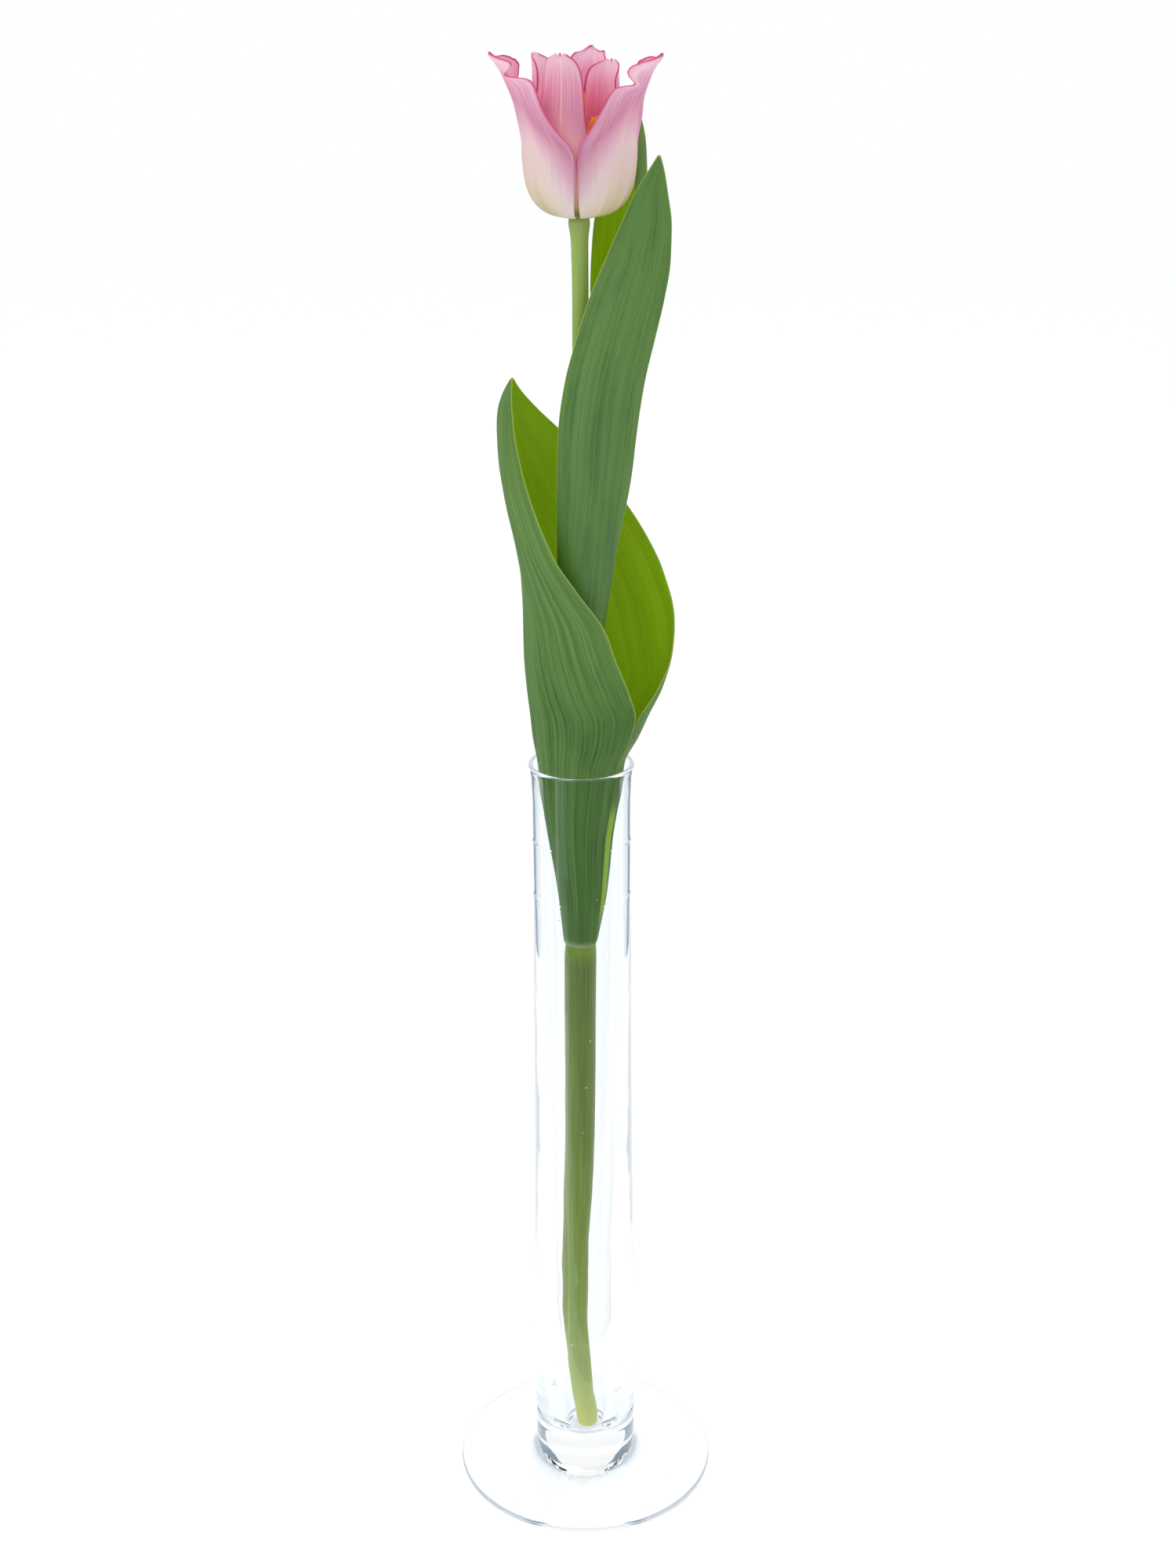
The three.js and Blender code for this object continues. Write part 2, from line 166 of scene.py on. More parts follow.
def smooth(stations, column, at):
    """The value in one column of given stations, by a curve that never swings past them."""
    last = len(stations) - 1
    left = 0
    while left < last - 1 and at > stations[left + 1][0]:
        left += 1
    a, b = stations[left], stations[left + 1]
    span = b[0] - a[0]

    def secant(k):
        low, high = stations[k], stations[k + 1]
        return (high[column] - low[column]) / (high[0] - low[0])

    def slope(k):
        if k in (0, last):
            return secant(min(k, last - 1))
        before, after = secant(k - 1), secant(k)
        return 0 if before * after <= 0 else 2 * before * after / (before + after)

    t = min(max((at - a[0]) / span, 0), 1)
    rise = (3 - 2 * t) * t * t
    lean = t * (1 - t)
    swing = span * lean * ((1 - t) * slope(left) - t * slope(left + 1))
    return a[column] * (1 - rise) + b[column] * rise + swing


def ease(value, start, end):
    """0 before start, 1 after end, and a soft S between them."""
    t = min(max((value - start) / (end - start), 0), 1)
    return t * t * (3 - 2 * t)


def spun(profile, steps):
    """A closed turned body from (radius, height) corners, the first and last on the axis."""
    bm = bmesh.new()
    corners = [bm.verts.new((radius * MM, 0, height * MM)) for radius, height in profile]
    for low, high in zip(corners, corners[1:]):
        bm.edges.new((low, high))
    bmesh.ops.spin(
        bm,
        geom=bm.verts[:] + bm.edges[:],
        axis=(0, 0, 1),
        angle=math.tau,
        steps=steps,
        use_merge=True,
    )
    bmesh.ops.remove_doubles(bm, verts=bm.verts, dist=1e-6)
    bmesh.ops.recalc_face_normals(bm, faces=bm.faces)
    return bm


def bent(bm, center):
    """Move each level of a turned body to its own centre, given in millimetres for a height."""
    for vert in bm.verts:
        x, y = center(vert.co.z / MM)
        vert.co.x += x * MM
        vert.co.y += y * MM


def sheet(columns, rows, point):
    """A thin sheet: a flat grid moved onto point(across, along), both counted from 0 to 1.

    Its UV map holds across and along. Its attribute edge holds the millimetres to the margin.
    """
    bm = bmesh.new()
    bm.loops.layers.uv.new("UVMap")
    edge = bm.verts.layers.float.new("edge")
    bmesh.ops.create_grid(bm, x_segments=columns, y_segments=rows, size=0.5, calc_uvs=True)
    place = {}
    for vert in bm.verts:
        i, j = round((vert.co.x + 0.5) * columns), round((vert.co.y + 0.5) * rows)
        place[i, j] = vert
        vert.co = Vector(point(i / columns, j / rows)) * MM
    tips = [place[i, rows].co for i in range(columns + 1)]
    tip = sum(tips, Vector()) / len(tips)
    for j in range(rows + 1):
        run = [0.0]
        for i in range(columns):
            run.append(run[-1] + (place[i + 1, j].co - place[i, j].co).length)
        for i in range(columns + 1):
            vert = place[i, j]
            vert[edge] = min(run[i], run[-1] - run[i], (vert.co - tip).length) / MM
    return bm


def finish_piece(name, bm, node, materials):
    """Link a mesh as a piece that stands for a CAD node and rides with the object."""
    for face in bm.faces:
        face.smooth = True
    mesh = bpy.data.meshes.new(name)
    bm.to_mesh(mesh)
    bm.free()
    for material in materials:
        mesh.materials.append(material)
    piece = bpy.data.objects.new(name, mesh)
    bpy.context.scene.collection.objects.link(piece)
    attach(piece, "root")
    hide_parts(node)
    return piece


def thicken(piece, thickness):
    """Give a sheet its wall, with its inner side in a material of its own and its rim in the back's
    material.
    """
    wall = piece.modifiers.new("Wall", "SOLIDIFY")
    wall.thickness = thickness
    wall.offset = 0
    wall.use_even_offset = False
    wall.material_offset = 1
    wall.material_offset_rim = 0
    soft = piece.modifiers.new("Soft", "SUBSURF")
    soft.levels = soft.render_levels = 1


# Vase

# The well inside the glass: height, radius
WELL = [
    (20, 6.8),
    (20.9, 7.8),
    (23, 9),
    (27, 9.9),
    (34, 10.5),
    (50, 11.2),
    (70, 12),
    (109, 13.2),
    (158, 15.1),
    (205, 17.6),
    (250, 19.1),
    (300, 19.7),
    (350, 19.7),
]

# The glass outside: height, radius
TUBE = [
    (9.5, 22.9),
    (22, 22.9),
    (44, 23.05),
    (109, 22.6),
    (190, 21.7),
    (267, 21.3),
    (340, 21.4),
]

# The foot's upper face: radius, height
FOOT = [(22.9, 9.5), (24, 6.8), (27, 5.4), (40, 4), (56.9, 2.9)]
FOOT_EDGE = 1.45
WELL_FLOOR = WELL[0][0]
GLASS_SIDES = 128
# Heights of the two faint rings left by the turning
RING_MARKS = (292, 316.5)
RING_REACH = 0.9
# Turns in the glass after which a ray gets a painted pale blue glow
PAINTED_GLOW_TURNS = 9.5
# Radius of the rim's round bead, and of the circle through its middle
BEAD = 1.15
BEAD_CIRCLE = 21.15
# Heights between which the well's wall loses its ripples
RIPPLE_LOW = 60
RIPPLE_HIGH = 260


def spaced(start, end, count):
    """Count + 1 even values from start to end."""
    return [start + (end - start) * k / count for k in range(count + 1)]


def vase_profile(sizes):
    """The glass's outline from the middle of the underside, outside and up, to the well's floor."""
    rim = sizes.rim_height / MM
    foot = sizes.foot_radius / MM
    profile = [(0, 0), (20, 0), (40, 0)]
    for turn in spaced(-90, 90, 10):
        angle = math.radians(turn)
        radius = foot - FOOT_EDGE + FOOT_EDGE * math.cos(angle)
        profile.append((radius, FOOT_EDGE + FOOT_EDGE * math.sin(angle)))
    for radius in [54, 50, 45, 40, 36, 32, 29.5, 27.5, 26, 25, 24.3, 23.7, 23.2]:
        profile.append((radius, smooth(FOOT, 1, radius)))
    for height in spaced(9.5, 340, 60):
        profile.append((smooth(TUBE, 1, height), height))
    for turn in spaced(-20, 200, 10):
        angle = math.radians(turn)
        profile.append((BEAD_CIRCLE + BEAD * math.cos(angle), rim - BEAD + BEAD * math.sin(angle)))
    down = [346, *spaced(340, 52, 76), *spaced(50, 23, 16), 22.2, 21.5, 20.9, 20.4]
    for height in down:
        profile.append((smooth(WELL, 1, height), height))
    profile += [(6.8, WELL_FLOOR), (4, WELL_FLOOR + 0.15), (0, WELL_FLOOR + 0.2)]
    return profile


def clear_glass(name):
    """Blown soda-lime glass: colourless, with long soft waves left by the blowing.

    It bends what is behind it. Two faint turning marks ring the tube, and tiny seeds
    of air and dust prick it here and there.
    """
    material, tree = new_material(name)
    place = add(tree, "ShaderNodeTexCoord")
    stretch = add(
        tree,
        "ShaderNodeMapping",
        {"Vector": place.outputs["Object"], "Scale": (90, 90, 26)},
    )
    waves = add(tree, "ShaderNodeTexNoise", {"Vector": stretch.outputs[0], "Scale": 1.0, "Detail": 1.0})
    swell = add(
        tree,
        "ShaderNodeBump",
        {"Height": waves.outputs["Fac"], "Strength": 0.35, "Distance": 0.05 * MM},
    )
    apart = add(tree, "ShaderNodeSeparateXYZ", {0: place.outputs["Object"]})
    marks = None
    for height in RING_MARKS:
        off = add(
            tree,
            "ShaderNodeMath",
            {0: apart.outputs["Z"], 1: height * MM},
            operation="SUBTRACT",
        )
        away = add(tree, "ShaderNodeMath", {0: off.outputs[0]}, operation="ABSOLUTE")
        ring = add(
            tree,
            "ShaderNodeMapRange",
            {
                "Value": away.outputs[0],
                "From Min": 0.0,
                "From Max": RING_REACH * MM,
                "To Min": 1.0,
                "To Max": 0.0,
            },
            interpolation_type="SMOOTHSTEP",
        )
        marks = ring.outputs[0] if marks is None else add(
            tree, "ShaderNodeMath", {0: marks, 1: ring.outputs[0]}, operation="ADD"
        ).outputs[0]
    ringed = add(
        tree,
        "ShaderNodeBump",
        {"Height": marks, "Strength": 0.5, "Distance": 0.06 * MM, "Normal": swell.outputs[0]},
    )
    seeds = add(
        tree,
        "ShaderNodeTexVoronoi",
        {"Vector": place.outputs["Object"], "Scale": 110.0, "Randomness": 1.0},
    )
    pits = add(
        tree,
        "ShaderNodeMapRange",
        {
            "Value": seeds.outputs["Distance"],
            "From Min": 0.0,
            "From Max": 0.045,
            "To Min": 1.0,
            "To Max": 0.0,
        },
    )
    pricked = add(
        tree,
        "ShaderNodeBump",
        {"Height": pits.outputs[0], "Strength": 0.8, "Distance": 0.25 * MM, "Normal": ringed.outputs[0]},
    )
    glass = add(
        tree,
        "ShaderNodeBsdfPrincipled",
        {
            "Base Color": linear("#fbfdfe"),
            "Roughness": 0.0,
            "IOR": 1.5,
            "Transmission Weight": 1.0,
            "Normal": pricked.outputs[0],
        },
    )
    # A painted glow: rays that have turned more than that many times in the glass give a fixed pale blue.
    # It stands in for light carried along the wall, which the bounce limit would turn black
    path = add(tree, "ShaderNodeLightPath")
    painted_glow_switch = add(
        tree,
        "ShaderNodeMath",
        {0: path.outputs["Ray Depth"], 1: PAINTED_GLOW_TURNS},
        operation="GREATER_THAN",
    )
    painted_glow = add(tree, "ShaderNodeEmission", {"Color": linear("#ccd4dc"), "Strength": 1.0})
    both = add(
        tree,
        "ShaderNodeMixShader",
        {0: painted_glow_switch.outputs[0], 1: glass.outputs[0], 2: painted_glow.outputs[0]},
    )
    add(tree, "ShaderNodeOutputMaterial", {"Surface": both.outputs[0]})
    return material


class TULIP_OT_vase(bpy.types.Operator):
    """Blow the vase: a thick-based tube on a wide thin disc foot"""

    bl_idname = "tulip.vase"
    bl_label = "Vase"

    def execute(self, context):
        sizes = context.scene.tulip_sizes
        bm = spun(vase_profile(sizes), GLASS_SIDES)
        for vert in bm.verts:
            height = vert.co.z / MM
            reach = Vector((vert.co.x, vert.co.y))
            inside = WELL_FLOOR + 1 < height and reach.length / MM < smooth(WELL, 1, height) + 0.3
            if inside:
                strength = 1 - ease(height, RIPPLE_LOW, RIPPLE_HIGH)
                drift = noise.noise(Vector((reach.x * 110, reach.y * 110, height * 0.045)))
                drift += 0.5 * noise.noise(Vector((reach.x * 190, reach.y * 190, height * 0.12)))
                reach *= 1 + drift * strength * sizes.wall_ripple / reach.length
                vert.co.x, vert.co.y = reach
        finish_piece("vase_glass", bm, "vase", [clear_glass("blown soda-lime glass")])
        return {"FINISHED"}


# Stem

# Height, centre x, centre y, radius
STEM = [
    (20.3, 1, -0.4, 4.4),
    (23, 0.8, -0.4, 5.1),
    (57, -2.9, -0.8, 5.2),
    (87, -4.3, -1, 5.9),
    (115, -4.1, -1, 6.2),
    (144, -2.7, -1, 6.6),
    (184, -1.5, -1, 6.8),
    (265, -0.8, -1, 6.9),
    (267.5, -0.5, -1, 5.6),
    (345, -0.3, -0.5, 4.6),
    (440, 0.3, 0, 3.7),
    (545, 0.8, 0, 3.2),
    (563, 0.6, 0, 3.4),
    (570.6, 0.5, 0, 4.2),
    (571.4, 0.5, 0, 3.9),
    (575.4, 0.5, 0, 1.6),
]


def stem_center(height):
    """Where the stem's middle is at a height, in millimetres."""
    return smooth(STEM, 1, height), smooth(STEM, 2, height)


def stem_skin(colours):
    """Living tulip stem: waxy, smooth skin over pale ribs, olive in the vase, yellow-green above."""
    material, tree = new_material("waxy stem skin")
    place = add(tree, "ShaderNodeTexCoord")
    apart = add(tree, "ShaderNodeSeparateXYZ", {0: place.outputs["Object"]})
    up = add(
        tree,
        "ShaderNodeMapRange",
        {"Value": apart.outputs["Z"], "From Min": 20 * MM, "From Max": 575 * MM},
    )
    grade = add(
        tree,
        "ShaderNodeValToRGB",
        {"Fac": up.outputs[0]},
        stops=[
            (0.0, linear("#c9c94c")),
            (0.02, linear("#b3bd50")),
            (0.06, linear("#93a64a")),
            (0.15, linear("#7f963f")),
            (0.3, colours.stem_low),
            (0.43, linear("#64793a")),
            (0.45, linear("#84a02c")),
            (0.7, linear("#86a01e")),
            (0.9, colours.stem_top),
            (0.985, linear("#8ea553")),
        ],
    )
    # Ribs about 0.7 mm apart, drawn out along the stem
    drawn = add(
        tree,
        "ShaderNodeMapping",
        {"Vector": place.outputs["Object"], "Scale": (1400, 1400, 22)},
    )
    ribs = add(tree, "ShaderNodeTexNoise", {"Vector": drawn.outputs[0], "Scale": 1.0, "Detail": 2.0})
    pale = add(
        tree,
        "ShaderNodeMapRange",
        {"Value": ribs.outputs["Fac"], "From Min": 0.4, "From Max": 0.75, "To Max": 0.25},
    )
    skin = add(
        tree,
        "ShaderNodeMix",
        {0: pale.outputs[0], 6: grade.outputs[0], 7: linear("#b7c46d")},
        data_type="RGBA",
    )
    relief = add(
        tree,
        "ShaderNodeBump",
        {"Height": ribs.outputs["Fac"], "Strength": 0.25, "Distance": 0.1 * MM},
    )
    wax = add(
        tree,
        "ShaderNodeBsdfPrincipled",
        {
            "Base Color": skin.outputs[2],
            "Roughness": 0.42,
            "IOR": 1.42,
            "Subsurface Weight": 0.25,
            "Subsurface Radius": (0.9, 1.0, 0.25),
            "Subsurface Scale": 1.5 * MM,
            "Normal": relief.outputs[0],
        },
    )
    add(tree, "ShaderNodeOutputMaterial", {"Surface": wax.outputs[0]})
    return material


class TULIP_OT_stem(bpy.types.Operator):
    """Grow the stem from the well's floor to the cone that carries the petals"""

    bl_idname = "tulip.stem"
    bl_label = "Stem"

    def execute(self, context):
        bottom, top = STEM[0][0], STEM[-1][0]
        heights = [bottom + 0.35, *spaced(bottom + 1, 545, 120), *spaced(550, top - 0.5, 20)]
        profile = [(0, bottom), (smooth(STEM, 3, bottom) - 0.5, bottom)]
        profile += [(smooth(STEM, 3, height), height) for height in heights]
        profile += [(smooth(STEM, 3, top) * 0.6, top - 0.05), (0, top)]
        bm = spun(profile, 40)
        bent(bm, stem_center)
        finish_piece("stem_flesh", bm, "stem", [stem_skin(context.scene.tulip_colours)])
        return {"FINISHED"}


# Leaves

# Height, centre x, centre y, half width, half depth, bearings of the inner and outer margins
LOWER_LEAF = [
    (268, -0.4, -1, 7.1, 7.1, -397, -40),
    (280, 0.2, -1, 8.8, 8.7, -404, -45),
    (290, 0.6, -1, 10.2, 10, -407, -47),
    (300, 0.5, -1.1, 11.4, 11, -408, -47),
    (320, -0.1, -1.2, 14, 13.1, -408, -46),
    (330, 0, -1.2, 15.5, 14, -407, -45),
    (340, 0.2, -1.3, 17, 15, -406, -43),
    (351, 0.4, -1.4, 18.2, 15.8, -404, -41),
    (362, 2.3, -1.6, 22, 16.8, -400, -41),
    (372, 4, -1.7, 24.6, 17.6, -398, -44),
    (384, 6.1, -1.8, 28, 18.2, -385, -60),
    (399, 7.5, -1.8, 30.4, 18.7, -364, -76),
    (414, 8, -1.6, 31, 19, -350, -87),
    (430, 7.2, -1.3, 30.8, 19, -331, -107),
    (442, 4.6, -1, 30, 18.8, -323, -119),
    (457, 0, -0.7, 28.6, 17.4, -312, -125),
    (473, -6.3, 0, 25, 14.6, -301, -128),
    (486, -13, 0.4, 19.2, 11.6, -292, -127),
    (499, -21, 0.6, 10.6, 7.4, -284, -118),
    (506, -24.4, 0.4, 4.6, 3.6, -280, -112),
    (510.6, -25.8, 0, 0.55, 0.55, -275, -105),
]
LOWER_LAP = 1.5

# Height, left margin x and y, right margin x and y, turn between them
MIDDLE_LEAF = [
    (343, -5.3, 1.6, 4.7, 1.6, 226),
    (365, -6.6, 0.2, 6, 0.2, 200),
    (400, -8.5, -3.8, 8.7, -3.4, 150),
    (441, -9.1, -6.6, 14.6, -5.2, 100),
    (472, -9, -7.6, 20.6, -5, 76),
    (492, -8.2, -8, 23, -5.2, 66),
    (510, -5.6, -8.4, 25.8, -5.6, 60),
    (528, -0.6, -8.6, 30, -6, 54),
    (543, 4.3, -8.8, 33.4, -6.2, 50),
    (556, 9.8, -9, 35.4, -6.4, 47),
    (569, 15.7, -9, 35.7, -6.5, 44),
    (582, 21.8, -8.6, 34, -6.5, 40),
    (590, 26.8, -7.6, 32.6, -6.4, 34),
    (595.2, 30.3, -6.3, 31.1, -6.2, 24),
]

# Height, centre x, centre y, half width, half depth, bearings of the two margins
UPPER_LEAF = [
    (397, 0, -0.2, 5, 5, -42, 160),
    (420, 0.6, 0.3, 5.6, 5.6, -45, 165),
    (450, 3, 1.6, 6.8, 6.8, -46, 165),
    (490, 8.6, 5, 8.9, 8.9, -45, 170),
    (527, 14.8, 9, 10.2, 10.2, -46, 174),
    (550, 16, 12, 11, 11, -50, 178),
    (568, 16.8, 14.2, 10.5, 10.5, -56, 174),
    (583, 18.6, 16.4, 8.1, 8.1, -68, 158),
    (593, 19.6, 16.6, 6.8, 6.8, -74, 152),
    (600, 20.3, 15.7, 5.5, 5.5, -78, 142),
    (608, 20.7, 14.6, 3.2, 3.2, -80, 122),
    (613.8, 20.8, 13.8, 0.6, 0.6, -60, 100),
]


def rolled(stations, lap):
    """A rolled leaf's middle surface, from its inner margin round to its outer one."""
    bottom, top = stations[0][0], stations[-1][0]

    def point(across, along):
        height = bottom + (top - bottom) * along
        x, y, wide, deep, start, end = (smooth(stations, k, height) for k in range(1, 7))
        bearing = math.radians(start + (end - start) * across)
        spread = lap * min(1, ((end - start) / 360) ** 4) * (across - 0.5)
        return x + (wide + spread) * math.cos(bearing), y + (deep + spread) * math.sin(bearing), height

    return point


def arched(stations):
    """A leaf arched from margin to margin, its back bulging to the right of the walk across."""
    bottom, top = stations[0][0], stations[-1][0]

    def point(across, along):
        height = bottom + (top - bottom) * along
        ax, ay, bx, by, turn = (smooth(stations, k, height) for k in range(1, 6))
        half = math.radians(turn / 2)
        radius = math.hypot(bx - ax, by - ay) / 2 / math.sin(half)
        heading = math.atan2(by - ay, bx - ax)
        inward = radius * math.cos(half)
        x = (ax + bx) / 2 - inward * math.sin(heading)
        y = (ay + by) / 2 + inward * math.cos(heading)
        bearing = heading - math.pi / 2 + half * (2 * across - 1)
        return x + radius * math.cos(bearing), y + radius * math.sin(bearing), height

    return point


def leaf_skin(name, low, high, vein, margin, through, lit, veins, painted_glow_strength=0.0):
    """Living tulip leaf: soft waxy blade with parallel veins that run from foot to tip.

    The bloom gives its back a dull grey-green, and light shining through makes its inner
    side glow yellow-green. lit is the share of light let through. The last argument is the
    strength of a painted band of bright yellow-green along the covered margin low down. It is the
    inner side's own green with a painted glow of light shining through it, where the margin
    would curl.
    """
    material, tree = new_material(name)
    sheet_map = add(tree, "ShaderNodeUVMap", uv_map="UVMap")
    fine = add(tree, "ShaderNodeMapping", {"Vector": sheet_map.outputs[0], "Scale": (veins, 2.2, 1)})
    lines = add(
        tree,
        "ShaderNodeTexNoise",
        {"Vector": fine.outputs[0], "Scale": 1.0, "Detail": 2.0, "Roughness": 0.55},
    )
    broad = add(tree, "ShaderNodeMapping", {"Vector": sheet_map.outputs[0], "Scale": (veins / 9, 6, 1)})
    blotches = add(
        tree,
        "ShaderNodeTexNoise",
        {"Vector": broad.outputs[0], "Scale": 1.0, "Detail": 5.0, "Roughness": 0.62},
    )
    bloom = add(
        tree,
        "ShaderNodeMapRange",
        {"Value": blotches.outputs["Fac"], "From Min": 0.36, "From Max": 0.54},
        interpolation_type="SMOOTHSTEP",
    )
    blade = add(
        tree,
        "ShaderNodeMix",
        {0: bloom.outputs[0], 6: low, 7: high},
        data_type="RGBA",
    )
    pale = add(
        tree,
        "ShaderNodeMapRange",
        {"Value": lines.outputs["Fac"], "From Min": 0.4, "From Max": 0.7, "To Max": 0.5},
    )
    veined = add(
        tree,
        "ShaderNodeMix",
        {0: pale.outputs[0], 6: blade.outputs[2], 7: vein},
        data_type="RGBA",
    )
    inward = add(tree, "ShaderNodeAttribute", attribute_name="edge")
    line = add(
        tree,
        "ShaderNodeMapRange",
        {"Value": inward.outputs["Fac"], "From Min": 0.15, "From Max": 0.5, "To Min": 0.8, "To Max": 0.0},
    )
    skin = add(
        tree,
        "ShaderNodeMix",
        {0: line.outputs[0], 6: veined.outputs[2], 7: margin},
        data_type="RGBA",
    )
    # The blade turns pale where it grows from the stem
    apart = add(tree, "ShaderNodeSeparateXYZ", {0: sheet_map.outputs[0]})
    low_end = add(
        tree,
        "ShaderNodeMapRange",
        {"Value": apart.outputs["Y"], "From Min": 0.0, "From Max": 0.014, "To Min": 0.8, "To Max": 0.0},
    )
    # Painted glow: a band of bright yellow-green along the covered margin low down. It is the inner side's
    # own green, brightened as if light shone through it where the margin would curl
    band = painted_glow_strength
    for axis, start, end in [("X", 0.075, 0.06), ("Y", 0.03, 0.075), ("Y", 0.285, 0.24)]:
        inside = add(
            tree,
            "ShaderNodeMapRange",
            {"Value": apart.outputs[axis], "From Min": start, "From Max": end},
            interpolation_type="SMOOTHSTEP",
        )
        band = add(tree, "ShaderNodeMath", {0: inside.outputs[0], 1: band}, operation="MULTIPLY").outputs[0]
    glow_banded = add(
        tree,
        "ShaderNodeMix",
        {0: band, 6: skin.outputs[2], 7: linear("#b4dc16")},
        data_type="RGBA",
    )
    rooted = add(
        tree,
        "ShaderNodeMix",
        {0: low_end.outputs[0], 6: glow_banded.outputs[2], 7: linear("#c3cba0")},
        data_type="RGBA",
    )
    relief = add(
        tree,
        "ShaderNodeBump",
        {"Height": lines.outputs["Fac"], "Strength": 0.5, "Distance": 0.15 * MM},
    )
    wax = add(
        tree,
        "ShaderNodeBsdfPrincipled",
        {
            "Base Color": rooted.outputs[2],
            "Roughness": 0.45,
            "IOR": 1.45,
            "Sheen Weight": 0.15,
            "Sheen Roughness": 0.5,
            "Sheen Tint": linear("#bdd6a8"),
            "Normal": relief.outputs[0],
        },
    )
    shining = add(
        tree,
        "ShaderNodeMix",
        {0: pale.outputs[0], 6: through, 7: linear("#e6f27c")},
        data_type="RGBA",
    )
    glow = add(
        tree,
        "ShaderNodeBsdfTranslucent",
        {"Color": shining.outputs[2], "Normal": relief.outputs[0]},
    )
    both = add(tree, "ShaderNodeMixShader", {0: lit, 1: wax.outputs[0], 2: glow.outputs[0]})
    add(tree, "ShaderNodeOutputMaterial", {"Surface": both.outputs[0]})
    return material


class TULIP_OT_leaves(bpy.types.Operator):
    """Wrap the three leaves round the stem"""

    bl_idname = "tulip.leaves"
    bl_label = "Leaves"

    def execute(self, context):
        colours = context.scene.tulip_colours
        thickness = context.scene.tulip_sizes.leaf_thickness
        leaves = [
            ("leaf_lower", rolled(LOWER_LEAF, LOWER_LAP), 88, 110, 110, 0.5, "#8caa72"),
            ("leaf_middle", arched(MIDDLE_LEAF), 36, 110, 44, 0.25, "#6f9452"),
            ("leaf_upper", rolled(UPPER_LEAF, 0), 36, 96, 44, 0.55, "#8cab66"),
        ]
        for node, point, columns, rows, veins, lit, pale in leaves:
            back = leaf_skin(
                f"{node} back, waxy leaf",
                colours.leaf_deep,
                colours.leaf_bloom,
                linear(pale),
                colours.leaf_margin,
                linear("#b7d850"),
                lit * 0.7,
                veins,
                # Only the lower leaf's back gets the band of painted glow along its covered margin
                0.9 if node == "leaf_lower" else 0.0,
            )
            inside = leaf_skin(
                f"{node} inside, waxy leaf",
                linear("#79a808"),
                colours.leaf_inside,
                linear("#a9cb3a"),
                colours.leaf_margin,
                linear("#d6ec48"),
                min(lit * 1.5, 0.8),
                veins,
            )
            bm = sheet(columns, rows, point)
            piece = finish_piece(f"{node}_blade", bm, node, [back, inside])
            thicken(piece, thickness)
        return {"FINISHED"}


# Petals

FLOWER_BASE = 571.5
FLOWER_X = 0.5
PETAL_LAP = 0.62

# Length along the midrib, radius, height, half width, channel radius, rise of the plain margin,
# half widths on the notched side of the first and second petal
OUTER_PETAL = [
    (0, 4.9, 571.9, 4.4, 40, 0, 4.4, 4.4),
    (8, 12, 573.6, 11.7, 34, 0, 11.7, 11.7),
    (15.6, 17.7, 578.4, 17.8, 28, 0, 17.8, 17.8),
    (23.6, 20.7, 585.8, 21.3, 23, 0, 21.3, 21.3),
    (32.6, 21.6, 594.8, 22.6, 21, 0, 22.6, 22.6),
    (37.5, 21.7, 599.7, 20.8, 19, 0, 20.8, 21.6),
    (42, 22.4, 604.2, 17.4, 17, 0, 17.4, 19.2),
    (51, 24.9, 613, 13.2, 12, 0, 12.6, 14.8),
    (56, 27.1, 617.6, 13.4, 9.4, 0.6, 11.6, 12.2),
    (58, 28, 619.3, 14.4, 8.6, 1, 11, 9),
    (60, 29, 621.1, 14.4, 7.8, 1.6, 9.2, 5),
    (61.5, 29.7, 622.4, 13.4, 7.3, 2, 6.4, 8.4),
    (63, 30.4, 623.6, 12.2, 6.8, 2.2, 3, 9.4),
    (64.2, 30.9, 624.6, 11.2, 6.5, 2.1, 1.1, 9.2),
    (65.2, 31.4, 625.4, 9.8, 6.3, 1.9, 2.6, 8.6),
    (66.6, 32.2, 626.5, 8.8, 5.8, 1.4, 6.4, 7.3),
    (68, 33, 627.6, 7.6, 5.4, 0.8, 6, 6.3),
    (71, 34.7, 629.9, 3.6, 5, 0.1, 3.4, 3.4),
    (74, 36.4, 632.2, 0.5, 5, 0, 0.5, 0.5),
]
INNER_PETAL = [
    (0, 3.6, 573.2, 2.5, 30, 0, 2.5, 2.5),
    (8, 10.2, 576.4, 7.9, 26, 0, 7.9, 7.9),
    (15, 15.4, 581, 12.7, 22, 0, 12.4, 12.7),
    (23, 18.2, 588.6, 16.4, 19, 0, 14.4, 16.4),
    (32, 18.8, 597.6, 16.6, 17, 0, 12, 17),
    (42, 18.4, 607.6, 13.8, 14, 0, 9.2, 15.6),
    (52, 17.8, 617.6, 11.4, 11, 0, 8.4, 14.6),
    (58, 17.7, 623.6, 10.6, 9.6, 0, 7.6, 13.6),
    (62, 17.8, 627.6, 9.4, 9, 0, 6.4, 10.6),
    (64.5, 18, 630.1, 6.8, 9, 0, 4.6, 6.8),
    (66.4, 18.1, 632, 2.4, 9, 0, 1.8, 2.4),
]

# Bearing of the midrib, share of the full height, side of the notch, column of its half width
OUTER_SET = [(-153, 1, 1, 6), (-32.5, 0.99, -1, 7), (82, 1, 1, 3)]
INNER_SET = [(-110, 0.995, 1, 6), (46, 0.94, -1, 7), (157, 0.985, 1, 3)]


# Height of the small waves along the petals' tips, and how many radians of them lie to a side
FRILL = 0.55
FRILL_WAVES = 9
# Shares of a petal's length between which the waves grow, and between which the cup is pinched
FRILL_SPAN = (0.8, 0.95)
PINCH_SPAN = (0.56, 0.84)
# How much closer than the average the rows of faces lie at a petal's tip
TIP_CROWDING = 0.35


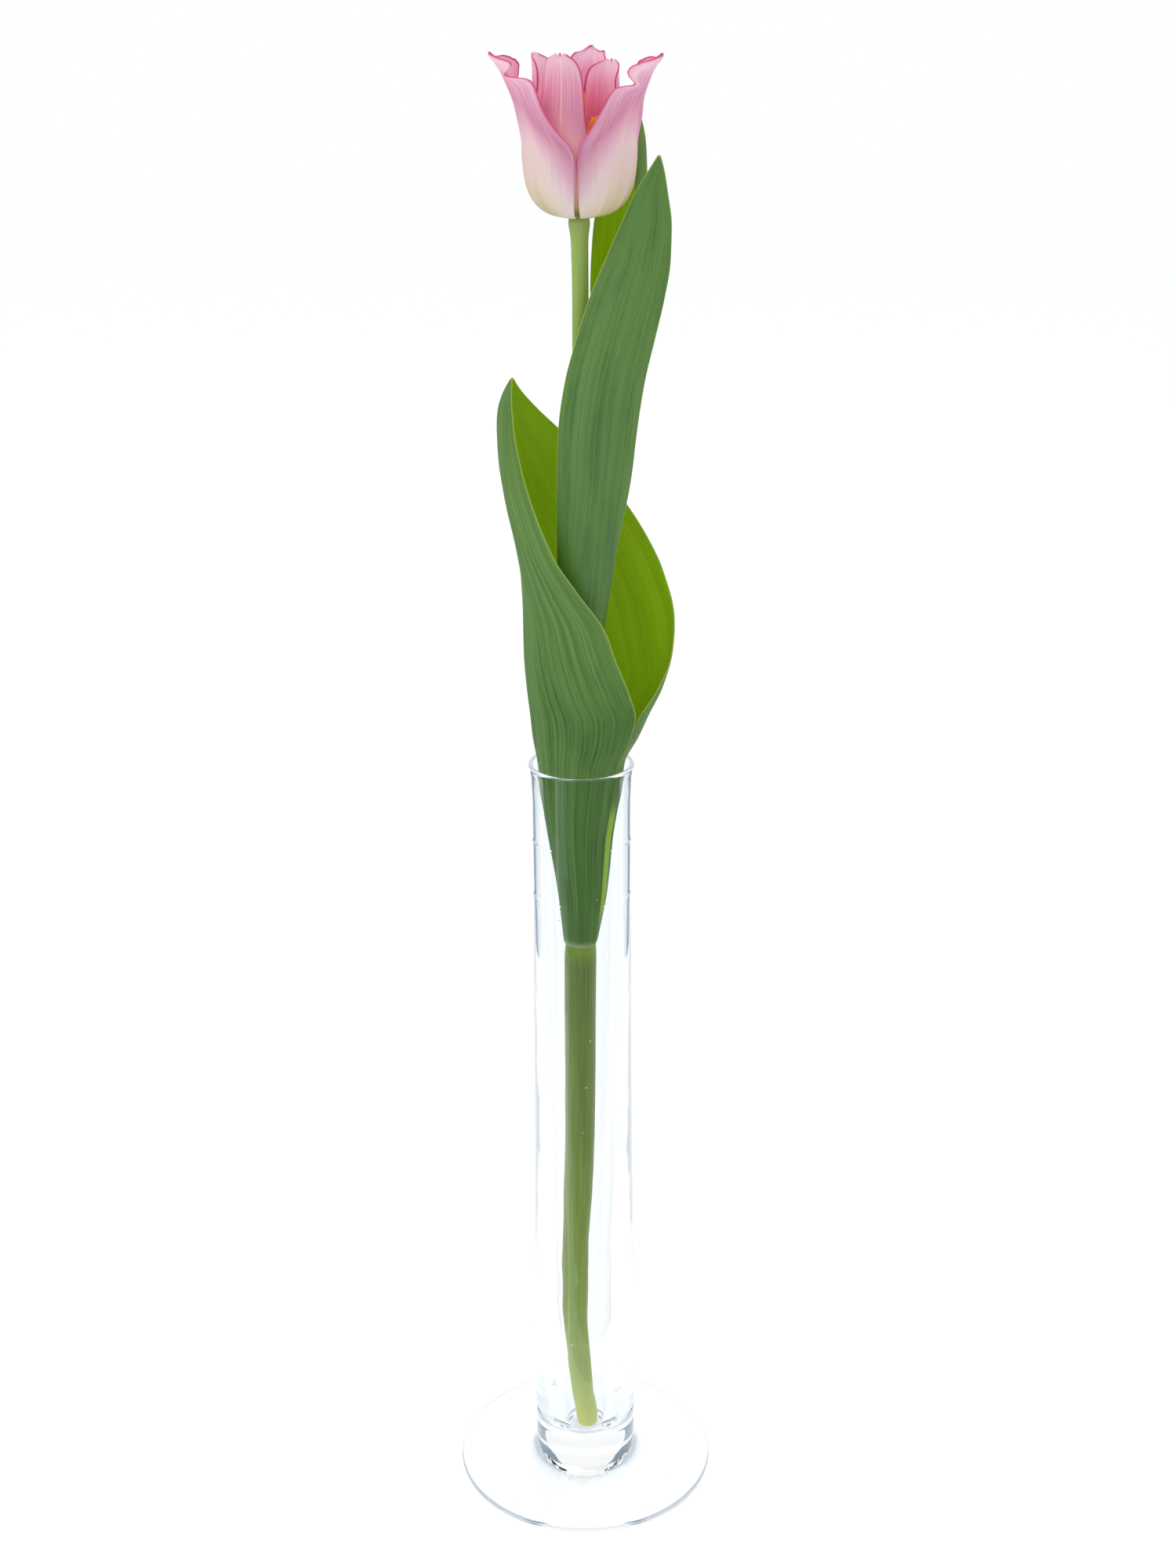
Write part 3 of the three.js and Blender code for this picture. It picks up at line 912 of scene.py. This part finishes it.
def petal(profile, bearing, scale, notched, notch):
    """A petal's middle surface: part of the cup below, and pinched to a channel at the tip."""
    long = profile[-1][0]
    turn = Matrix.Rotation(math.radians(bearing), 3, "Z")

    def point(across, along):
        length = long * along * (1 + TIP_CROWDING * (1 - along))
        side = 2 * across - 1
        plain = side * notched <= 0
        columns = (1, 2, 3 if plain else notch, 4, 5)
        radius, height, half, channel, crest = (smooth(profile, k, length) for k in columns)
        angle = side * half / radius
        ring = radius + PETAL_LAP * side
        cup = Vector((ring * math.cos(angle), ring * math.sin(angle), height))
        rise = smooth(profile, 2, length + 0.1) - smooth(profile, 2, length - 0.1)
        run = smooth(profile, 1, length + 0.1) - smooth(profile, 1, length - 0.1)
        lean = math.atan2(run, rise)
        fold = side * half / channel
        depth = channel * (1 - math.cos(fold))
        pinched = Vector(
            (
                radius - depth * math.cos(lean),
                channel * math.sin(fold) + PETAL_LAP * side * 0.2,
                height + depth * math.sin(lean),
            )
        )
        spot = cup.lerp(pinched, ease(length / long, *PINCH_SPAN))
        if plain:
            spot.z += crest * side * side
        frill = ease(length / long, *FRILL_SPAN) * (1 - side * side * side * side)
        spot.z += FRILL * frill * math.sin(FRILL_WAVES * side + bearing)
        spot.z = FLOWER_BASE + (spot.z - FLOWER_BASE) * scale
        spot = turn @ spot
        spot.x += FLOWER_X
        return spot

    return point


def petal_skin(name, stops, streak, margin, lit, reach, crease):
    """Living petal: silky and thin, its cells drawn out in fine streaks from foot to tip.

    The light passes through it, and its upper margin is edged in deep pink. reach is how much
    lower the upper colour comes at the margins, and crease is the strength of the pale line
    along the midrib.
    """
    material, tree = new_material(name)
    sheet_map = add(tree, "ShaderNodeUVMap", uv_map="UVMap")
    apart = add(tree, "ShaderNodeSeparateXYZ", {0: sheet_map.outputs[0]})
    side = add(
        tree,
        "ShaderNodeMath",
        {0: apart.outputs["X"], 1: 0.5},
        operation="SUBTRACT",
    )
    away = add(tree, "ShaderNodeMath", {0: side.outputs[0]}, operation="ABSOLUTE")
    lower = add(
        tree,
        "ShaderNodeMapRange",
        {"Value": away.outputs[0], "From Min": 0.12, "From Max": 0.5, "To Max": reach},
    )
    drawn = add(tree, "ShaderNodeMapping", {"Vector": sheet_map.outputs[0], "Scale": (70, 1.8, 1)})
    streaks = add(
        tree,
        "ShaderNodeTexNoise",
        {"Vector": drawn.outputs[0], "Scale": 1.0, "Detail": 3.0, "Roughness": 0.6},
    )
    wander = add(
        tree,
        "ShaderNodeMapRange",
        {"Value": streaks.outputs["Fac"], "To Min": -0.14, "To Max": 0.14},
    )
    shifted = add(tree, "ShaderNodeMath", {0: apart.outputs["Y"], 1: lower.outputs[0]}, operation="ADD")
    up = add(tree, "ShaderNodeMath", {0: shifted.outputs[0], 1: wander.outputs[0]}, operation="ADD")
    grade = add(tree, "ShaderNodeValToRGB", {"Fac": up.outputs[0]}, stops=stops)
    pale = add(
        tree,
        "ShaderNodeMapRange",
        {"Value": streaks.outputs["Fac"], "From Min": 0.42, "From Max": 0.72, "To Max": 0.6},
    )
    streaked = add(
        tree,
        "ShaderNodeMix",
        {0: pale.outputs[0], 6: grade.outputs[0], 7: streak},
        data_type="RGBA",
    )
    inward = add(tree, "ShaderNodeAttribute", attribute_name="edge")
    line = add(
        tree,
        "ShaderNodeMapRange",
        {"Value": inward.outputs["Fac"], "From Min": 0.25, "From Max": 1.0, "To Min": 1.0, "To Max": 0.0},
    )
    high = add(
        tree,
        "ShaderNodeMapRange",
        {"Value": apart.outputs["Y"], "From Min": 0.15, "From Max": 0.6, "To Max": 0.95},
    )
    edged = add(tree, "ShaderNodeMath", {0: line.outputs[0], 1: high.outputs[0]}, operation="MULTIPLY")
    rib = add(
        tree,
        "ShaderNodeMapRange",
        {"Value": away.outputs[0], "From Min": 0.005, "From Max": 0.035, "To Min": crease, "To Max": 0.0},
        interpolation_type="SMOOTHSTEP",
    )
    creased = add(
        tree,
        "ShaderNodeMix",
        {0: rib.outputs[0], 6: streaked.outputs[2], 7: linear("#f3e6df")},
        data_type="RGBA",
    )
    skin = add(
        tree,
        "ShaderNodeMix",
        {0: edged.outputs[0], 6: creased.outputs[2], 7: margin},
        data_type="RGBA",
    )
    relief = add(
        tree,
        "ShaderNodeBump",
        {"Height": streaks.outputs["Fac"], "Strength": 0.3, "Distance": 0.15 * MM},
    )
    silk = add(
        tree,
        "ShaderNodeBsdfPrincipled",
        {
            "Base Color": skin.outputs[2],
            "Roughness": 0.5,
            "IOR": 1.4,
            "Sheen Weight": 0.15,
            "Sheen Roughness": 0.4,
            "Normal": relief.outputs[0],
        },
    )
    glow = add(tree, "ShaderNodeBsdfTranslucent", {"Color": skin.outputs[2], "Normal": relief.outputs[0]})
    both = add(tree, "ShaderNodeMixShader", {0: lit, 1: silk.outputs[0], 2: glow.outputs[0]})
    add(tree, "ShaderNodeOutputMaterial", {"Surface": both.outputs[0]})
    return material


class TULIP_OT_petals(bpy.types.Operator):
    """Set the six petals on the stem's cone"""

    bl_idname = "tulip.petals"
    bl_label = "Petals"

    def execute(self, context):
        colours = context.scene.tulip_colours
        thickness = context.scene.tulip_sizes.petal_thickness
        inside_stops = [
            (0.0, linear("#c9b96a")),
            (0.1, linear("#efe6d6")),
            (0.28, linear("#f7c9d5")),
            (0.5, colours.petal_inside),
            (0.75, linear("#ffc6d8")),
            (0.95, linear("#fff0f6")),
        ]
        for kind, profile, petals, columns, rows in [
            ("outer", OUTER_PETAL, OUTER_SET, 44, 96),
            ("inner", INNER_PETAL, INNER_SET, 40, 52),
        ]:
            back_stops = [
                (0.0, linear("#8f9a45")),
                (0.06, colours.petal_base),
                (0.15, linear("#dad9a2")),
                (0.27, colours.petal_cream),
                (0.42, linear("#f8f1ee")),
                (0.53, linear("#e9c4d5")),
                (0.64, colours.petal_lilac if kind == "outer" else linear("#dda6c2")),
                (0.8, linear("#dfa3c4") if kind == "outer" else linear("#eab2cb")),
                (0.95, linear("#f3cfde")),
            ]
            back = petal_skin(
                f"{kind} petal back, silky petal",
                back_stops,
                linear("#f6f0ee"),
                colours.petal_margin,
                0.45 if kind == "outer" else 0.65,
                0.3 if kind == "outer" else 0.12,
                0.0 if kind == "outer" else 0.85,
            )
            inside = petal_skin(
                f"{kind} petal inside, silky petal",
                inside_stops,
                linear("#fff2f6"),
                colours.petal_margin,
                0.85,
                0.1,
                0.3,
            )
            for number, place in enumerate(petals, 1):
                bm = sheet(columns, rows, petal(profile, *place))
                node = f"tepal_{kind}_{number}"
                piece = finish_piece(f"{node}_petal", bm, node, [back, inside])
                thicken(piece, thickness)
        return {"FINISHED"}


# Pistil and stamens

STEM_TOP = STEM[-1][0]
PISTIL_FOOT = STEM_TOP + 0.3
# The ring that the stamens grow from
RING_RADIUS = 3.5
RING_LOW = STEM_TOP - 0.9
RING_HIGH = STEM_TOP + 0.8

# Height above the foot, radius, depth of the three lobes
PISTIL = [
    (0, 1.5, 0),
    (3, 2.5, 0.1),
    (10, 2.8, 0.14),
    (17, 2.2, 0.12),
    (19.5, 2, 0.2),
    (21, 3, 0.4),
    (23, 3.2, 0.42),
    (24.5, 1.6, 0.3),
]

# Height above the root, radius
STAMEN = [(0, 0.8), (2, 0.75), (17, 0.6), (18, 1.1), (20, 1.5), (31, 1.3), (33.5, 0.5)]
STAMEN_COUNT = 6
STAMEN_ROOT = STEM_TOP - 0.3
STAMEN_RADIUS = 3
STAMEN_SPREAD = 4.6
STAMEN_TURN = 17
TALL_STAMEN = 1
TALL_STRETCH = 1.25


def flesh(name, low, high, grain, depth):
    """Soft plant flesh: matt, with a fine grain and a slow change of colour up its height."""
    material, tree = new_material(name)
    place = add(tree, "ShaderNodeTexCoord")
    apart = add(tree, "ShaderNodeSeparateXYZ", {0: place.outputs["Object"]})
    up = add(
        tree,
        "ShaderNodeMapRange",
        {"Value": apart.outputs["Z"], "From Min": 590 * MM, "From Max": 596 * MM},
    )
    specks = add(
        tree,
        "ShaderNodeTexNoise",
        {"Vector": place.outputs["Object"], "Scale": 1000 / grain, "Detail": 3.0},
    )
    grade = add(tree, "ShaderNodeMix", {0: up.outputs[0], 6: low, 7: high}, data_type="RGBA")
    dusted = add(
        tree,
        "ShaderNodeMix",
        {0: specks.outputs["Fac"], 6: grade.outputs[2], 7: linear("#f7ecc0")},
        data_type="RGBA",
        blend_type="SOFT_LIGHT",
    )
    relief = add(
        tree,
        "ShaderNodeBump",
        {"Height": specks.outputs["Fac"], "Strength": 0.5, "Distance": depth * MM},
    )
    body = add(
        tree,
        "ShaderNodeBsdfPrincipled",
        {
            "Base Color": dusted.outputs[2],
            "Roughness": 0.7,
            "IOR": 1.4,
            "Subsurface Weight": 0.2,
            "Subsurface Radius": (1.0, 0.8, 0.3),
            "Subsurface Scale": 1.0 * MM,
            "Normal": relief.outputs[0],
        },
    )
    add(tree, "ShaderNodeOutputMaterial", {"Surface": body.outputs[0]})
    return material


def stamen(bearing, stretch):
    """One filament with its anther, leaning outwards."""
    length = STAMEN[-1][0]
    profile = [(0, STAMEN_ROOT)]
    for up in spaced(0, length, 60):
        profile.append((smooth(STAMEN, 1, up), STAMEN_ROOT + up * stretch))
    profile.append((0, STAMEN_ROOT + length * stretch))
    bm = spun(profile, 16)

    def center(height):
        up = max(height - STAMEN_ROOT, 0) / stretch
        out = STAMEN_RADIUS + STAMEN_SPREAD * (up / length) ** 1.5
        return FLOWER_X + out * math.cos(bearing), out * math.sin(bearing)

    bent(bm, center)
    return bm


class TULIP_OT_heart(bpy.types.Operator):
    """Set the pistil and the six stamens in the middle of the flower"""

    bl_idname = "tulip.heart"
    bl_label = "Pistil and stamens"

    def execute(self, context):
        colours = context.scene.tulip_colours
        tall = PISTIL[-1][0]
        profile = [(0, PISTIL_FOOT)]
        profile += [(smooth(PISTIL, 1, up), PISTIL_FOOT + up) for up in spaced(0, tall, 48)]
        profile.append((0, PISTIL_FOOT + tall))
        bm = spun(profile, 36)
        for vert in bm.verts:
            lobes = smooth(PISTIL, 2, vert.co.z / MM - PISTIL_FOOT)
            swell = 1 + lobes * (math.cos(3 * math.atan2(vert.co.y, vert.co.x)) - 0.3)
            vert.co.x *= swell
            vert.co.y *= swell
        bent(bm, lambda height: (FLOWER_X, 0))
        ovary = flesh("soft green ovary", colours.pistil, linear("#e7e3b4"), 0.6, 0.1)
        finish_piece("pistil_flesh", bm, "pistil", [ovary])

        ring = spun(
            [(0, RING_LOW), (RING_RADIUS, RING_LOW), (RING_RADIUS, RING_HIGH), (0, RING_HIGH)],
            36,
        )
        bent(ring, lambda height: (FLOWER_X, 0))
        for k in range(STAMEN_COUNT):
            bearing = math.radians(k * 360 / STAMEN_COUNT + STAMEN_TURN)
            single = stamen(bearing, TALL_STRETCH if k == TALL_STAMEN else 1)
            mesh = bpy.data.meshes.new("stamen")
            single.to_mesh(mesh)
            single.free()
            ring.from_mesh(mesh)
            bpy.data.meshes.remove(mesh)
        pollen = flesh("powdery golden anther", linear("#e3dba0"), colours.anther, 0.35, 0.2)
        finish_piece("stamens_flesh", ring, "stamens", [pollen])
        return {"FINISHED"}


# Stage

# The camera's place, and its tilt down and roll in degrees
CAMERA_PLACE = (2.789 * MM, -853.36 * MM, 668.70 * MM)
CAMERA_TILT = 21.067
CAMERA_ROLL = -0.2926


def studio_paper(color):
    """Seamless white studio paper: matt and bright, with a grain too fine to see at this size."""
    material, tree = new_material("seamless studio paper")
    place = add(tree, "ShaderNodeTexCoord")
    grain = add(
        tree,
        "ShaderNodeTexNoise",
        {"Vector": place.outputs["Object"], "Scale": 40.0, "Detail": 2.0},
    )
    tone = add(
        tree,
        "ShaderNodeMix",
        {0: grain.outputs["Fac"], 6: color, 7: linear("#ffffff")},
        data_type="RGBA",
    )
    paper = add(
        tree,
        "ShaderNodeBsdfPrincipled",
        {
            "Base Color": tone.outputs[2],
            "Roughness": 0.9,
            "Specular IOR Level": 0.1,
            "Emission Color": (1, 1, 1, 1),
            "Emission Strength": 0.12,
        },
    )
    add(tree, "ShaderNodeOutputMaterial", {"Surface": paper.outputs[0]})
    return material


def felt_card(name, low, high):
    """Felt card: matt, with a short nap. It gives clear glass its edges and calm reflections."""
    material, tree = new_material(name)
    place = add(tree, "ShaderNodeTexCoord")
    nap = add(tree, "ShaderNodeTexNoise", {"Vector": place.outputs["Object"], "Scale": 300.0})
    tone = add(
        tree,
        "ShaderNodeMix",
        {0: nap.outputs["Fac"], 6: linear(low), 7: linear(high)},
        data_type="RGBA",
    )
    felt = add(tree, "ShaderNodeBsdfDiffuse", {"Color": tone.outputs[2]})
    path = add(tree, "ShaderNodeLightPath")
    lit = add(tree, "ShaderNodeMath", {0: path.outputs["Diffuse Depth"], 1: 0.5}, operation="GREATER_THAN")
    clear = add(tree, "ShaderNodeBsdfTransparent")
    both = add(tree, "ShaderNodeMixShader", {0: lit.outputs[0], 1: felt.outputs[0], 2: clear.outputs[0]})
    add(tree, "ShaderNodeOutputMaterial", {"Surface": both.outputs[0]})
    return material


def flat_card(name, wide, tall, material):
    """A flat upright card with its middle at the origin."""
    bm = bmesh.new()
    bmesh.ops.create_grid(bm, x_segments=1, y_segments=1, size=0.5)
    bmesh.ops.scale(bm, vec=(wide, tall, 1), verts=bm.verts)
    mesh = bpy.data.meshes.new(name)
    bm.to_mesh(mesh)
    bm.free()
    mesh.materials.append(material)
    card = bpy.data.objects.new(name, mesh)
    bpy.context.scene.collection.objects.link(card)
    return card


class TULIP_OT_stage(bpy.types.Operator):
    """Set up the pale floor, the soft studio light and the camera"""

    bl_idname = "tulip.stage"
    bl_label = "Stage"

    def execute(self, context):
        scene = context.scene
        scene.view_settings.view_transform = "Standard"
        # Light that has bounced keeps its sharp way through the glass, or the foot would look grey
        scene.cycles.blur_glossy = 0.0
        # The heavy base turns light round many times before it leaves
        scene.cycles.max_bounces = 16
        scene.cycles.transmission_bounces = 16
        scene.cycles.glossy_bounces = 16
        floor = flat_card("floor", 12, 12, studio_paper(scene.tulip_colours.floor))
        floor.location.z = -0.2 * MM

        pale = felt_card("blue-grey felt card", "#7f8f9b", "#8e9da8")
        black = felt_card("black felt card", "#15191c", "#20262a")
        # Name, bearing, distance, width, height and felt of each upright card. The black ones
        # keep the white floor out of the tube's face, but for one narrow band of light.
        cards = [
            ("card_back_right", 41, 0.5, 0.34, 0.75, pale),
            ("card_back_left", 139, 0.5, 0.34, 0.75, pale),
            ("card_front_left", 225, 0.5, 0.2, 0.75, pale),
            ("card_front_right", 315, 0.5, 0.2, 0.75, pale),
            ("card_front", 281, 0.1, 0.186, 0.36, black),
            ("card_left", 197, 0.1, 0.062, 0.36, black),
            ("card_right", 342, 0.1, 0.066, 0.36, black),
        ]
        for name, bearing, away, wide, tall, felt in cards:
            card = flat_card(name, wide, tall, felt)
            angle = math.radians(bearing)
            turn = Matrix.Rotation(angle + math.pi / 2, 4, "Z") @ Matrix.Rotation(math.pi / 2, 4, "X")
            place = Matrix.Translation((away * math.cos(angle), away * math.sin(angle), tall / 2))
            card.matrix_world = place @ turn
            card.visible_camera = False
            card.visible_diffuse = False
            card.visible_shadow = False

        world = bpy.data.worlds.new("white studio")
        world.use_nodes = True
        world.node_tree.nodes.clear()
        tree = world.node_tree
        path = add(tree, "ShaderNodeLightPath")
        toward = add(tree, "ShaderNodeTexCoord")
        apart = add(tree, "ShaderNodeSeparateXYZ", {0: toward.outputs["Generated"]})
        # The tent's open front is pale blue-grey, and its sides are white
        front = add(
            tree,
            "ShaderNodeMapRange",
            {"Value": apart.outputs["Y"], "From Min": -0.95, "From Max": -0.15},
            interpolation_type="SMOOTHSTEP",
        )
        seen = add(
            tree,
            "ShaderNodeMath",
            {0: front.outputs[0], 1: path.outputs["Is Camera Ray"]},
            operation="MAXIMUM",
        )
        tone = add(
            tree,
            "ShaderNodeMix",
            {0: seen.outputs[0], 6: linear("#a9bbcf"), 7: (1, 1, 1, 1)},
            data_type="RGBA",
        )
        sky = add(tree, "ShaderNodeBackground", {"Color": tone.outputs[2], "Strength": 1.0})
        add(tree, "ShaderNodeOutputWorld", {"Surface": sky.outputs[0]})
        scene.world = world

        # Name, place, size and power of each soft light
        for name, place, size, power in [
            ("softbox_left", (-0.9, -1.1, 1.5), 1.0, 8),
            ("softbox_top", (0.4, 0.5, 1.9), 1.2, 6),
        ]:
            lamp = bpy.data.lights.new(name, "AREA")
            lamp.shape = "SQUARE"
            lamp.size = size
            lamp.energy = power
            light = bpy.data.objects.new(name, lamp)
            light.location = place
            light.rotation_mode = "QUATERNION"
            light.rotation_quaternion = (Vector((0, 0, 0.4)) - Vector(place)).to_track_quat("-Z", "Y")
            scene.collection.objects.link(light)

        lens = bpy.data.cameras.new("camera")
        lens.lens = 50
        lens.sensor_width = 36
        camera = bpy.data.objects.new("camera", lens)
        tilt = Matrix.Rotation(math.radians(90 - CAMERA_TILT), 4, "X")
        roll = Matrix.Rotation(math.radians(CAMERA_ROLL), 4, "Z")
        camera.matrix_world = Matrix.Translation(CAMERA_PLACE) @ tilt @ roll
        scene.collection.objects.link(camera)
        scene.camera = camera
        return {"FINISHED"}


class TULIP_PT_panel(bpy.types.Panel):
    """Lists the tulip's pieces, sizes and colours."""

    bl_idname = "TULIP_PT_panel"
    bl_label = "Tulip"
    bl_space_type = "VIEW_3D"
    bl_region_type = "UI"
    bl_category = "Tulip"

    def draw(self, context):
        for step in STEPS:
            self.layout.operator(step.bl_idname)
        for group in (context.scene.tulip_sizes, context.scene.tulip_colours):
            box = self.layout.box()
            for name in group.__annotations__:
                box.prop(group, name)


STEPS = (
    TULIP_OT_stage,
    TULIP_OT_vase,
    TULIP_OT_stem,
    TULIP_OT_leaves,
    TULIP_OT_petals,
    TULIP_OT_heart,
)
CLASSES = (TulipSizes, TulipColours, *STEPS, TULIP_PT_panel)


def register():
    for kind in CLASSES:
        bpy.utils.register_class(kind)
    bpy.types.Scene.tulip_sizes = PointerProperty(type=TulipSizes)
    bpy.types.Scene.tulip_colours = PointerProperty(type=TulipColours)


def unregister():
    del bpy.types.Scene.tulip_colours
    del bpy.types.Scene.tulip_sizes
    for kind in reversed(CLASSES):
        bpy.utils.unregister_class(kind)


def main():
    register()
    bpy.ops.tulip.stage()
    bpy.ops.tulip.vase()
    bpy.ops.tulip.stem()
    bpy.ops.tulip.leaves()
    bpy.ops.tulip.petals()
    bpy.ops.tulip.heart()


if __name__ == "__main__":
    main()
